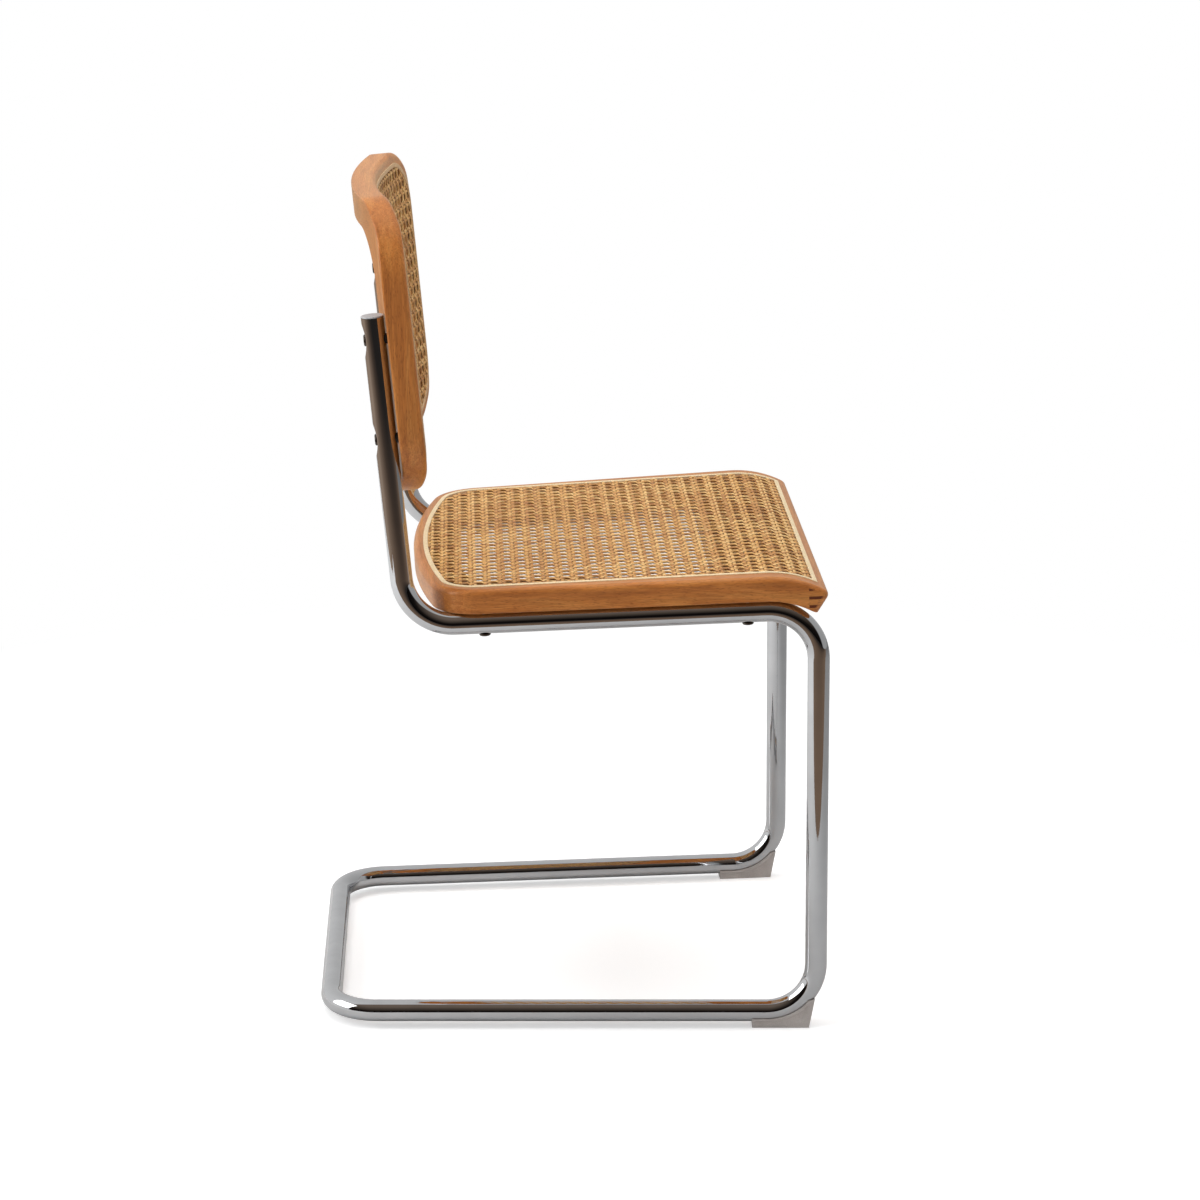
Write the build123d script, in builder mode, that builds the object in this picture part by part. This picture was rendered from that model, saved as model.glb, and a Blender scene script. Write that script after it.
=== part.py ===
from build123d import *
import os
from math import atan, cos, hypot, radians, sin, sqrt, tan

os.makedirs("parts", exist_ok=True)

# Bent steel tube. The chair faces -Y, and the origin is on the floor below the middle of its box.
tube_diameter = 22.0
tube_wall = 2.0
bend_radius = 50.0  # centreline radius of all eight bends
base_depth = 491.0  # leg centreline to rear bar centreline
front_width = 439.6  # between the leg centrelines
rear_width = 388.0  # between the side runs, where they reach the rear bar
leg_rake = 1.7  # the top of each leg stands this far behind its foot
seat_run_height = 439.5  # centreline of the seat run above the legs
seat_run_depth = 405.7  # foot of the legs to the foot of the uprights
seat_slope = 2.47  # degrees, falling to the rear
upright_lean = 5.04  # degrees, leaning back
upright_length = 309.1  # from the corner at its foot
fit = 0.15  # clearance round a piece that is pressed on or in
contact_gap = 0.3  # between a flat wooden face and the round tube
end_cap_rim = 1.6
end_cap_edge = 0.6
end_cap_plug_length = 5.0

# Plastic glides
glide_height = 5.4  # floor to the underside of the tube
glide_edge = 0.8
front_glide_toe = 6.7  # foot of the glide, behind the leg centreline
front_glide_tip = 1.0  # its upper front point, behind the leg centreline
front_glide_rise = 14.6  # that point above the runner's centreline
front_glide_tail = 14.5  # rear end of the glide, behind the end of the bend
front_glide_width = 14.0
front_glide_wing = 1.0  # thickness of the wings that hug the tube
front_glide_wing_drop = 5.5  # top of the wings below the tube's centreline
front_glide_stud = 7.0  # behind the end of the bend
rear_glide_spread = 130.0  # between the middles of the two hidden rear glides
rear_glide_length = 46.0
rear_glide_width = 18.0
rear_glide_rim_drop = 7.5  # top of the rear glides below the tube's centreline
glide_stud_diameter = 6.0
glide_stud_length = 7.0

# Screws, inserts and the pressed seats of the screw heads
screw_diameter = 6.0
screw_head_diameter = 11.5
screw_head_height = 2.4
screw_head_edge = 1.4
screw_socket_flats = 4.0
screw_socket_depth = 1.4
screw_bite = 12.0  # length of screw in the wood
insert_diameter = 9.0
insert_length = 14.0
insert_end_room = 1.0
die_radius = 40.0  # ball that presses the dimples
seat_dimple_depth = 1.0
back_dimple_depth = 3.4
front_screw_setback = 71.5  # behind the foot of the legs
rear_screw_setback = 76.2  # in front of the foot of the uprights
back_screw_places = (189.0, 287.0)  # up the uprights from their foot
spacer_thickness = 1.8
spacer_diameter = 10.0

# Wooden frames, the same stock for the seat and the back
frame_thickness = 24.5
finger_count = 3
finger_thickness = 3.0
finger_pitch = 8.7
finger_first = 2.4  # middle of the lowest whole finger above the underside
cane_thickness = 2.0
spline_width = 4.8
spline_depth = 4.5
spline_proud = 0.8
spline_edge = 0.7
net_gap_sides = 8

# Seat frame, drawn flat and tilted with the tube
seat_overhang = 11.0  # beyond the tube's centreline
seat_rear_gap = 6.7  # rear edge of the seat, in front of the foot of the uprights
seat_rear_arc = 800.0
seat_rear_corner = 50.0
seat_front_corner = 8.0
seat_edge_round = 6.0
seat_under_round = 1.5
roll_offset = -1.0  # start of the rolled front, behind the start of the tube's bend
roll_radius = 88.0  # underside of the roll
roll_angle = 33.7
side_rail_width = 37.0
rear_rail_width = 40.0
front_rail_reach = 99.5  # rear edge of the front rail, behind the foot of the legs
opening_corner = 18.0
rear_joint_setback = 49.5  # shoulder of the rear fingers, in front of the rear edge
rear_finger_length = 18.0
front_finger_length = 21.7  # from the front edge to the shoulder of the front fingers
spline_inset = 10.0  # outer edge of the spline to the edge of the wood
spline_front_inset = 20.0  # the same, at the front corners
spline_front_setback = 13.0  # along the roll, from the front edge of the wood
seat_net_columns = 12
seat_net_rows = 10
seat_net_hole = 8.0  # radius of the octagonal gaps

# Back frame, drawn upright and leaned with the uprights
back_width = 430.0
back_bottom = 123.5  # up the uprights from their foot
back_top = 416.0
back_bow = 26.5  # how far the middle of the rails stands behind the stiles
bow_start = 6.5  # outside the uprights' centrelines
bow_blend_radius = 60.0
back_top_corner = 76.0
back_bottom_corner = 78.0
back_edge_round = 5.0
back_rear_round = 2.5
stile_width = 45.0
top_rail_height = 31.0
bottom_rail_height = 34.0
back_opening_corner = 50.0
back_finger_length = 12.0
back_spline_inset = 11.0
back_net_columns = 12
back_net_rows = 8
back_net_hole = 8.0

# Places worked out from the sizes above
tube_radius = tube_diameter / 2
base_z = glide_height + tube_radius
leg_y = -base_depth / 2  # foot of the legs
leg_top_y = leg_y + leg_rake
bar_y = base_depth / 2
slope = radians(seat_slope)
lean = radians(upright_lean)
foot_y = leg_y + seat_run_depth
foot_z = seat_run_height - tan(slope) * (foot_y - leg_top_y)
top_y = foot_y + sin(lean) * upright_length
top_z = foot_z + cos(lean) * upright_length
toe_in = (front_width - rear_width) / 2 / base_depth


def side_x(y):
    """Half the width between the side runs at a given depth."""
    return front_width / 2 - toe_in * (y - leg_y)


left_points = [
    Vector(side_x(y), y, z)
    for y, z in (
        (top_y, top_z),
        (foot_y, foot_z),
        (leg_top_y, seat_run_height),
        (leg_y, base_z),
        (bar_y, base_z),
    )
]
right_points = [Vector(-p.X, p.Y, p.Z) for p in left_points]
tube_points = right_points + left_points[::-1]

# The seat plane lies on top of the side runs, the back plane through the middle of the uprights.
seat_normal = Vector(0, sin(slope), cos(slope))
seat_run_middle = Vector(0, 0, seat_run_height + tan(slope) * leg_top_y)
seat_rise = tube_radius + contact_gap
seat_origin = seat_run_middle + seat_normal * seat_rise
seat_plane = Plane(origin=seat_origin, x_dir=(1, 0, 0), z_dir=seat_normal)
seat_side = Plane(origin=seat_origin, x_dir=seat_plane.y_dir, z_dir=(1, 0, 0))
back_plane = Plane(origin=(0, foot_y, foot_z), x_dir=(1, 0, 0), z_dir=(0, -cos(lean), sin(lean)))
back_plan = Plane(origin=(0, foot_y, foot_z), x_dir=(1, 0, 0), z_dir=back_plane.y_dir)
stile_rear = tube_radius + spacer_thickness
seat_screw_places = (leg_y + front_screw_setback, foot_y - rear_screw_setback)
seat_screw_points = [(s * side_x(y), y) for s in (-1, 1) for y in seat_screw_places]
back_screw_points = [
    (s * side_x(foot_y + sin(lean) * v), v) for s in (-1, 1) for v in back_screw_places
]
head_sag = die_radius - sqrt(die_radius**2 - (screw_head_diameter / 2) ** 2)
rear_glide_points = [(s * rear_glide_spread / 2, bar_y) for s in (-1, 1)]


def runner_plane(side):
    """Upright plane through the leg and floor runner of one side, with its origin under the leg."""
    foot = (side * side_x(leg_y), leg_y, 0)
    return Plane(origin=foot, x_dir=(-side * toe_in, 1, 0), z_dir=(1, side * toe_in, 0))


def stud_point(side):
    """Place of a front glide's stud on the floor plan."""
    point = runner_plane(side).from_local_coords((bend_radius + front_glide_stud, 0, 0))
    return (point.X, point.Y)


# Tube: its outside, its bore, and larger copies that seat what fits round it
def tube_sweep(radius):
    """Solid along the whole centreline with the given radius."""
    with BuildPart() as solid:
        with BuildLine():
            FilletPolyline(*tube_points, radius=bend_radius)
        with BuildSketch(Plane(origin=tube_points[0], z_dir=tube_points[1] - tube_points[0])):
            Circle(radius)
        sweep()
    return solid.part


def press_dies(radius):
    """Balls that press the seats of the screw heads into the tube."""
    with BuildPart() as dies:
        with Locations(seat_plane.offset(seat_dimple_depth - tube_radius - die_radius - seat_rise)):
            with Locations(*seat_screw_points):
                Sphere(radius)
        with Locations(back_plane.offset(back_dimple_depth - tube_radius - die_radius)):
            with Locations(*back_screw_points):
                Sphere(radius)
    return dies.part


tube_envelope = tube_sweep(tube_radius + fit)
tube_outside = tube_sweep(tube_radius)
outer_dies = press_dies(die_radius)
inner_dies = press_dies(die_radius + tube_wall)

with BuildPart() as tube_bore:
    add(tube_sweep(tube_radius - tube_wall))
    add(inner_dies, mode=Mode.SUBTRACT)

with BuildPart() as tube_frame:
    add(tube_outside)
    add(outer_dies, mode=Mode.SUBTRACT)
    add(tube_bore.part, mode=Mode.SUBTRACT)
    with BuildSketch(seat_plane.offset(-seat_rise)):
        with Locations(*seat_screw_points):
            Circle(screw_diameter / 2 + fit)
    extrude(amount=tube_diameter, both=True, mode=Mode.SUBTRACT)
    with BuildSketch(back_plane):
        with Locations(*back_screw_points):
            Circle(screw_diameter / 2 + fit)
    extrude(amount=tube_diameter, both=True, mode=Mode.SUBTRACT)
    with BuildSketch(Plane.XY):
        with Locations(*rear_glide_points):
            Circle(glide_stud_diameter / 2 + fit)
        for side in (-1, 1):
            with Locations(stud_point(side)):
                Circle(glide_stud_diameter / 2 + fit)
    extrude(amount=base_z, mode=Mode.SUBTRACT)
tube_frame.part.label = "tube_frame"
export_step(tube_frame.part, "parts/tube_frame.step")

# Caps pressed into the upper ends of the tube
for side, name in ((1, "tube_end_cap_left"), (-1, "tube_end_cap_right")):
    end, foot = (left_points if side > 0 else right_points)[:2]
    end_plane = Plane(origin=end, z_dir=end - foot)
    with BuildPart() as end_cap:
        with BuildSketch(end_plane):
            Circle(tube_radius)
        extrude(amount=end_cap_rim)
        fillet(end_cap.faces().sort_by(Axis.Z)[-1].edges(), end_cap_edge)
        with BuildSketch(end_plane):
            Circle(tube_radius - tube_wall - fit)
        extrude(amount=-end_cap_plug_length)
    end_cap.part.label = name
    export_step(end_cap.part, f"parts/{name}.step")

# Glides: a wedge with two thin wings under each front bend, and pads under the rear bar
def glide_slab(side, width):
    """Side view of a front glide, given a width. Its top follows the bend, below the centreline."""
    wing_top = base_z - front_glide_wing_drop
    front_glide_top = base_z + front_glide_rise
    front_glide_heel = bend_radius + front_glide_tail
    wing_radius = bend_radius + front_glide_wing_drop
    wing_end = bend_radius - sqrt(wing_radius**2 - (bend_radius - front_glide_rise) ** 2)
    with BuildPart() as slab:
        with BuildSketch(runner_plane(side).offset(-width / 2)):
            with BuildLine():
                Polyline(
                    (wing_end, front_glide_top),
                    (front_glide_tip, front_glide_top),
                    (front_glide_toe, 0),
                    (front_glide_heel, 0),
                    (front_glide_heel, wing_top),
                    (bend_radius, wing_top),
                )
                TangentArc((bend_radius, wing_top), (wing_end, front_glide_top), tangent=(-1, 0))
            make_face()
        extrude(amount=width)
    return slab.part


wing_sweep = tube_sweep(tube_radius + fit + front_glide_wing)
for side, name in ((1, "front_glide_left"), (-1, "front_glide_right")):
    wide_slab = glide_slab(side, 2 * tube_diameter)
    foot_slab = glide_slab(side, front_glide_width)
    with BuildPart() as front_glide:
        add(wide_slab)
        add(wing_sweep, mode=Mode.INTERSECT)
        add(foot_slab)
        add(tube_envelope, mode=Mode.SUBTRACT)
        fillet(front_glide.faces().sort_by(Axis.Z)[0].edges(), glide_edge)
        with BuildSketch(Plane.XY.offset(glide_height - fit)):
            with Locations(stud_point(side)):
                Circle(glide_stud_diameter / 2)
        extrude(amount=glide_stud_length)
    front_glide.part.label = name
    export_step(front_glide.part, f"parts/{name}.step")

for place, name in zip(rear_glide_points, ("rear_glide_right", "rear_glide_left")):
    with BuildPart() as rear_glide:
        with BuildSketch(Plane.XY):
            with Locations(place):
                SlotOverall(rear_glide_length, rear_glide_width)
        extrude(amount=base_z - rear_glide_rim_drop)
        fillet(rear_glide.faces().sort_by(Axis.Z)[0].edges(), glide_edge)
        add(tube_envelope, mode=Mode.SUBTRACT)
        with BuildSketch(Plane.XY.offset(glide_height - fit)):
            with Locations(place):
                Circle(glide_stud_diameter / 2)
        extrude(amount=glide_stud_length)
    rear_glide.part.label = name
    export_step(rear_glide.part, f"parts/{name}.step")

# Seat frame. Layers follow the seat from its flat part over the rolled front.
leg_lean = atan(leg_rake / (seat_run_height - base_z))
bend_turn = radians(90) + slope - leg_lean
roll_start = leg_top_y + bend_radius * tan(bend_turn / 2) * cos(slope) + roll_offset
roll_turn = radians(roll_angle)
seat_rear = foot_y - seat_rear_gap
front_opening = leg_y + front_rail_reach


def roll_point(height, angle=roll_turn):
    """Point on the roll in the side view, at a height above the underside and an angle of the roll."""
    reach = roll_radius + height
    return (roll_start - reach * sin(angle), reach * cos(angle) - roll_radius)


def seat_layer(low, high):
    """Slab between two heights above the seat's underside, wider than the frame."""
    behind = 2 * seat_rear
    with BuildPart() as layer:
        with BuildSketch(seat_side):
            with BuildLine():
                Line((behind, low), (roll_start, low))
                TangentArc((roll_start, low), roll_point(low), tangent=(-1, 0))
                Line(roll_point(low), roll_point(high))
                TangentArc((roll_start, high), roll_point(high), tangent=(-1, 0))
                Line((roll_start, high), (behind, high))
                Line((behind, high), (behind, low))
            make_face()
        extrude(amount=front_width, both=True)
    return layer.part


def seat_half(y, inset=0):
    """Half the width of the seat at a given depth, less an inset."""
    return side_x(y) + seat_overhang - inset


def seat_prism(front, front_half, rear_half, inset, corner, front_corner=0):
    """Block with the seat's plan: straight sides, a bowed rear edge and round rear corners."""
    rear = seat_rear - inset
    with BuildPart() as prism:
        with BuildSketch(seat_plane.offset(-2 * frame_thickness)) as plan:
            Polygon(
                (-front_half, front),
                (front_half, front),
                (rear_half, rear),
                (-rear_half, rear),
                align=None,
            )
            with Locations((0, rear - seat_rear_arc + inset)):
                Circle(seat_rear_arc - inset, mode=Mode.INTERSECT)
            fillet(plan.vertices().group_by(Axis.Y)[-1], corner)
            if front_corner:
                fillet(plan.vertices().group_by(Axis.Y)[0], front_corner)
        extrude(amount=4 * frame_thickness)
    return prism.part


def seat_fingers(first, start, end):
    """Thin slabs parallel to the seat: the layers that one rail sends into the other."""
    with BuildPart() as fingers:
        for layer in range(finger_count):
            with Locations(seat_plane.offset(first + layer * finger_pitch)):
                with Locations((0, (start + end) / 2)):
                    Box(2 * front_width, end - start, finger_thickness)
    return fingers.part


def spline_prism(inward):
    """Block inside the seat's spline line, moved inward from the spline's outer edge."""
    inset = spline_inset + inward
    front_half = seat_half(spline_front, spline_front_inset + inward)
    rear_half = seat_half(seat_rear, inset)
    return seat_prism(spline_front + inward, front_half, rear_half, inset, seat_rear_corner - inset)


def seat_height(point):
    """Height of a point above the seat's underside, measured square to the layers."""
    local = seat_plane.to_local_coords(point)
    if local.Y >= roll_start:
        return local.Z
    return sqrt((local.Y - roll_start) ** 2 + (local.Z + roll_radius) ** 2) - roll_radius


def seat_rim(part, height):
    """Edges round the seat at a height, without the line where the roll begins."""
    return part.edges().filter_by(
        lambda e: abs(seat_height(e @ 0.5) - height) < 0.01
        and abs(seat_plane.to_local_coords(e @ 0.5).Y - roll_start) > 0.5
    )


seat_front = roll_point(frame_thickness)[0]
front_joint = seat_front + front_finger_length
rear_joint = seat_rear - rear_joint_setback
setback_turn = roll_turn - spline_front_setback / (roll_radius + frame_thickness)
spline_front = roll_point(frame_thickness, setback_turn)[0]
seat_outline = seat_prism(
    2 * seat_front,
    seat_half(2 * seat_front),
    seat_half(seat_rear),
    0,
    seat_rear_corner,
)
seat_opening = seat_prism(
    front_opening,
    seat_half(front_opening, side_rail_width),
    seat_half(seat_rear - rear_rail_width, side_rail_width),
    rear_rail_width,
    opening_corner,
    opening_corner,
)
groove_outer = spline_prism(-fit)
groove_inner = spline_prism(spline_width + fit)
groove_layer = seat_layer(frame_thickness - spline_depth - fit, frame_thickness + spline_depth)
rabbet_layer = seat_layer(frame_thickness - cane_thickness - fit, frame_thickness + spline_depth)
seat_body_layer = seat_layer(0, frame_thickness)

with BuildPart() as seat_groove:
    add(groove_outer)
    add(groove_inner, mode=Mode.SUBTRACT)
    add(groove_layer, mode=Mode.INTERSECT)

with BuildPart() as seat_rabbet:
    add(groove_inner)
    add(rabbet_layer, mode=Mode.INTERSECT)

with BuildPart() as seat_blank:
    add(seat_body_layer)
    add(seat_outline, mode=Mode.INTERSECT)
    front_face = seat_blank.faces().sort_by(Axis.Y)[0]
    fillet(front_face.edges().filter_by(Axis.X, reverse=True), seat_front_corner)
    fillet(seat_rim(seat_blank, frame_thickness), seat_edge_round)
    fillet(seat_rim(seat_blank, 0), seat_under_round)
    add(seat_opening, mode=Mode.SUBTRACT)
    add(seat_rabbet.part, mode=Mode.SUBTRACT)
    add(seat_groove.part, mode=Mode.SUBTRACT)

# Side rails run to the front face and take the fingers of the front and rear rails.
rear_joint_end = rear_joint + rear_finger_length
front_fingers = seat_fingers(finger_first - finger_pitch, 2 * seat_front, front_joint)
rear_fingers = seat_fingers(finger_first, rear_joint, rear_joint_end)
side_rails = []
for side, name in ((1, "seat_side_rail_left"), (-1, "seat_side_rail_right")):
    with BuildPart() as side_zone:
        with BuildSketch(seat_plane.offset(-2 * frame_thickness)):
            Polygon(
                (side * seat_half(2 * seat_front, side_rail_width), 2 * seat_front),
                (side * front_width, 2 * seat_front),
                (side * front_width, rear_joint_end),
                (side * seat_half(rear_joint_end, side_rail_width), rear_joint_end),
                align=None,
            )
        extrude(amount=4 * frame_thickness)
    with BuildPart() as side_rail:
        add(seat_blank.part)
        add(side_zone.part, mode=Mode.INTERSECT)
        add(front_fingers, mode=Mode.SUBTRACT)
        add(rear_fingers, mode=Mode.SUBTRACT)
        side_rails.append(side_rail.part)
    with BuildPart() as drilled_rail:
        add(side_rail.part)
        with BuildSketch(seat_plane):
            with Locations(*seat_screw_points):
                Circle(insert_diameter / 2 + fit)
        extrude(amount=insert_length + insert_end_room, mode=Mode.SUBTRACT)
    drilled_rail.part.label = name
    export_step(drilled_rail.part, f"parts/{name}.step")

with BuildPart() as end_rails:
    add(seat_blank.part)
    add(side_rails, mode=Mode.SUBTRACT)

for place, name in ((0, "seat_front_rail"), (-1, "seat_rear_rail")):
    with BuildPart() as end_rail:
        add(end_rails.part.solids().sort_by(Axis.Y)[place])
    end_rail.part.label = name
    export_step(end_rail.part, f"parts/{name}.step")

# Seat spline: a straight front piece, mitred to the piece that goes round the sides and the rear
spline_layer = seat_layer(frame_thickness - spline_depth, frame_thickness + spline_proud)
spline_outer = spline_prism(0)
spline_inner = spline_prism(spline_width)
mitre = 2 * spline_width
with BuildPart() as front_zone:
    with BuildSketch(seat_plane.offset(-2 * frame_thickness)):
        half = seat_half(spline_front, spline_front_inset)
        Polygon(
            (-half - mitre, spline_front - mitre),
            (half + mitre, spline_front - mitre),
            (half - mitre, spline_front + mitre),
            (mitre - half, spline_front + mitre),
            align=None,
        )
    extrude(amount=4 * frame_thickness)

with BuildPart() as spline_ring:
    add(spline_outer)
    add(spline_inner, mode=Mode.SUBTRACT)
    add(spline_layer, mode=Mode.INTERSECT)
    fillet(seat_rim(spline_ring, frame_thickness + spline_proud), spline_edge)

for mode, name in ((Mode.INTERSECT, "seat_spline_front"), (Mode.SUBTRACT, "seat_spline_sides")):
    with BuildPart() as seat_spline:
        add(spline_ring.part)
        add(front_zone.part, mode=mode)
    seat_spline.part.label = name
    export_step(seat_spline.part, f"parts/{name}.step")

# Seat cane: one sheet that bends over the roll, with open mesh over the opening
cane_layer = seat_layer(frame_thickness - cane_thickness, frame_thickness)
cane_outline = spline_prism(spline_width + 2 * fit)
net_front = front_opening + opening_corner
net_rear = seat_rear - rear_rail_width - opening_corner
net_width = 2 * seat_half(net_rear, side_rail_width + opening_corner)
with BuildPart() as seat_cane:
    add(cane_outline)
    add(cane_layer, mode=Mode.INTERSECT)
    with BuildSketch(seat_plane):
        with Locations((0, (net_front + net_rear) / 2)):
            with GridLocations(
                net_width / (seat_net_columns - 1),
                (net_rear - net_front) / (seat_net_rows - 1),
                seat_net_columns,
                seat_net_rows,
            ):
                RegularPolygon(seat_net_hole, net_gap_sides)
    extrude(amount=2 * frame_thickness, mode=Mode.SUBTRACT)
seat_cane.part.label = "seat_cane"
export_step(seat_cane.part, "parts/seat_cane.step")


# Screws and inserts, drawn along the axis of the screw
def screw_set(plane, points, head_seat, wood_face):
    """Button-head screws: the head's seat and the wood's face are heights along the plane's normal."""
    with BuildPart() as screws:
        with BuildSketch(plane.offset(head_seat)):
            with Locations(*points):
                Circle(screw_diameter / 2)
        extrude(amount=wood_face + screw_bite - head_seat)
        with BuildSketch(plane.offset(head_seat)):
            with Locations(*points):
                Circle(screw_head_diameter / 2)
        extrude(amount=-screw_head_height)
        head_tops = screws.faces().filter_by(plane).group_by(Axis(plane.origin, plane.z_dir))[0]
        fillet(head_tops.edges(), screw_head_edge)
        with BuildSketch(plane.offset(head_seat - screw_head_height)):
            with Locations(*points):
                RegularPolygon(screw_socket_flats / 2, 6, major_radius=False)
        extrude(amount=screw_socket_depth, mode=Mode.SUBTRACT)
    return screws.part


def insert_set(plane, points, wood_face):
    """Threaded inserts that lie flush with the wood's face."""
    with BuildPart() as inserts:
        with BuildSketch(plane.offset(wood_face)):
            with Locations(*points):
                Circle(insert_diameter / 2)
                Circle(screw_diameter / 2 + fit, mode=Mode.SUBTRACT)
        extrude(amount=insert_length)
    return inserts.part


seat_head = seat_dimple_depth - tube_radius - head_sag - fit - seat_rise
back_head = back_dimple_depth - tube_radius - head_sag - fit

with BuildPart() as seat_screws:
    add(screw_set(seat_plane, seat_screw_points, seat_head, 0))
seat_screws.part.label = "seat_screws"
export_step(seat_screws.part, "parts/seat_screws.step")

with BuildPart() as seat_inserts:
    add(insert_set(seat_plane, seat_screw_points, 0))
seat_inserts.part.label = "seat_inserts"
export_step(seat_inserts.part, "parts/seat_inserts.step")

# Back frame. Its layers are flat at the sides and bow backwards between the uprights.
back_half = back_width / 2
bow_reach = side_x(foot_y) + bow_start
bow_turn = 2 * atan(back_bow / bow_reach)
bow_radii = bow_reach / sin(bow_turn)
bow_middle_radius = bow_radii - bow_blend_radius


def bow_points(height):
    """Half of a bowed line in plan, from the side to the middle, at a height above the rear face."""
    depth = -stile_rear - height
    blend = bow_blend_radius + height
    return (
        (back_width, depth),
        (bow_reach, depth),
        (bow_reach - blend * sin(bow_turn), depth + blend * (1 - cos(bow_turn))),
        (0, depth + back_bow),
    )


def back_layer(low, high):
    """Bowed slab between two heights above the rear face, taller and wider than the frame."""
    with BuildPart() as layer:
        with BuildSketch(back_plan):
            with BuildLine():
                for height in (low, high):
                    side, blend_start, blend_end, middle = bow_points(height)
                    for s in (-1, 1):
                        Line((s * side[0], side[1]), (s * blend_start[0], blend_start[1]))
                        TangentArc(
                            (s * blend_start[0], blend_start[1]),
                            (s * blend_end[0], blend_end[1]),
                            tangent=(-s, 0),
                        )
                    ThreePointArc((-blend_end[0], blend_end[1]), middle, blend_end)
                for s in (-1, 1):
                    Line((s * back_width, -stile_rear - low), (s * back_width, -stile_rear - high))
            make_face()
        extrude(amount=2 * back_top)
    return layer.part


def back_prism(half, bottom, top, bottom_corner, top_corner):
    """Block with a rounded front view, through the whole depth of the back."""
    with BuildPart() as prism:
        with BuildSketch(back_plane.offset(-2 * frame_thickness)) as view:
            with Locations((0, (bottom + top) / 2)):
                Rectangle(2 * half, top - bottom)
            fillet(view.vertices().group_by(Axis.Y)[-1], top_corner)
            fillet(view.vertices().group_by(Axis.Y)[0], bottom_corner)
        extrude(amount=6 * frame_thickness)
    return prism.part


def back_inset(inset):
    """Block inside the back's outline, moved inward by an inset, for the spline and the cane."""
    return back_prism(
        back_half - inset,
        back_bottom + inset,
        back_top - inset,
        back_bottom_corner - inset,
        back_top_corner - inset,
    )


def back_height(point):
    """Height of a point above the back's rear face, measured square to the layers."""
    local = back_plane.to_local_coords(point)
    across, depth = abs(local.X), local.Z - stile_rear
    inward, forward = bow_reach - across, depth + bow_blend_radius
    if inward <= 0:
        return depth
    if inward <= forward * tan(bow_turn):
        return hypot(inward, forward) - bow_blend_radius
    return bow_middle_radius - hypot(across, bow_middle_radius - back_bow - depth)


def back_rim(part, height):
    """Edges round the back at a height, without the lines where the bow begins and turns."""
    seams = (bow_reach, (bow_middle_radius - height) * sin(bow_turn))
    return part.edges().filter_by(
        lambda e: abs(back_height(e @ 0.5) - height) < 0.01
        and all(abs(abs((e @ 0).X) - x) + abs(abs((e @ 1).X) - x) > 0.1 for x in seams)
    )


back_outline = back_prism(back_half, back_bottom, back_top, back_bottom_corner, back_top_corner)
back_body_layer = back_layer(0, frame_thickness)
opening_half = back_half - stile_width
opening_bottom = back_bottom + bottom_rail_height
opening_top = back_top - top_rail_height
back_opening = back_prism(opening_half, opening_bottom, opening_top, back_opening_corner, back_opening_corner)
groove_outer = back_inset(back_spline_inset - fit)
groove_inner = back_inset(back_spline_inset + spline_width + fit)
groove_layer = back_layer(frame_thickness - spline_depth - fit, frame_thickness + spline_depth)
rabbet_layer = back_layer(frame_thickness - cane_thickness - fit, frame_thickness + spline_depth)

with BuildPart() as back_groove:
    add(groove_outer)
    add(groove_inner, mode=Mode.SUBTRACT)
    add(groove_layer, mode=Mode.INTERSECT)

with BuildPart() as back_rabbet:
    add(groove_inner)
    add(rabbet_layer, mode=Mode.INTERSECT)

with BuildPart() as back_blank:
    add(back_body_layer)
    add(back_outline, mode=Mode.INTERSECT)
    fillet(back_rim(back_blank, frame_thickness), back_edge_round)
    fillet(back_rim(back_blank, 0), back_rear_round)
    add(back_opening, mode=Mode.SUBTRACT)
    add(back_rabbet.part, mode=Mode.SUBTRACT)
    add(back_groove.part, mode=Mode.SUBTRACT)

# The stiles end in the round corners of the opening. The fingers of both rails stand in them.
joint_bottom = opening_bottom - back_finger_length
joint_top = opening_top + back_finger_length
with BuildPart() as joint_bands:
    with BuildSketch(back_plane.offset(-2 * frame_thickness)):
        for low, high in ((joint_bottom, opening_bottom), (opening_top, joint_top)):
            with Locations((0, (low + high) / 2)):
                Rectangle(2 * back_width, back_finger_length)
    extrude(amount=6 * frame_thickness)

with BuildPart() as back_fingers:
    for layer in range(finger_count):
        finger_low = finger_first + layer * finger_pitch - finger_thickness / 2
        add(back_layer(finger_low, finger_low + finger_thickness))
    add(joint_bands.part, mode=Mode.INTERSECT)

stiles = []
for side, name in ((1, "back_stile_left"), (-1, "back_stile_right")):
    with BuildPart() as stile_zone:
        with BuildSketch(back_plane.offset(-2 * frame_thickness)):
            with Locations((side * (opening_half + back_half / 2), (joint_bottom + joint_top) / 2)):
                Rectangle(back_half, joint_top - joint_bottom)
            with Locations((side * opening_half, (opening_bottom + opening_top) / 2)):
                Rectangle(2 * back_opening_corner, opening_top - opening_bottom)
        extrude(amount=6 * frame_thickness)
    with BuildPart() as stile:
        add(back_blank.part)
        add(stile_zone.part, mode=Mode.INTERSECT)
        add(back_fingers.part, mode=Mode.SUBTRACT)
        stiles.append(stile.part)
    with BuildPart() as drilled_stile:
        add(stile.part)
        with BuildSketch(back_plane):
            with Locations(*back_screw_points):
                Circle(insert_diameter / 2 + fit)
        extrude(amount=stile_rear + insert_length + insert_end_room, mode=Mode.SUBTRACT)
    drilled_stile.part.label = name
    export_step(drilled_stile.part, f"parts/{name}.step")

with BuildPart() as cross_rails:
    add(back_blank.part)
    add(stiles, mode=Mode.SUBTRACT)

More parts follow.
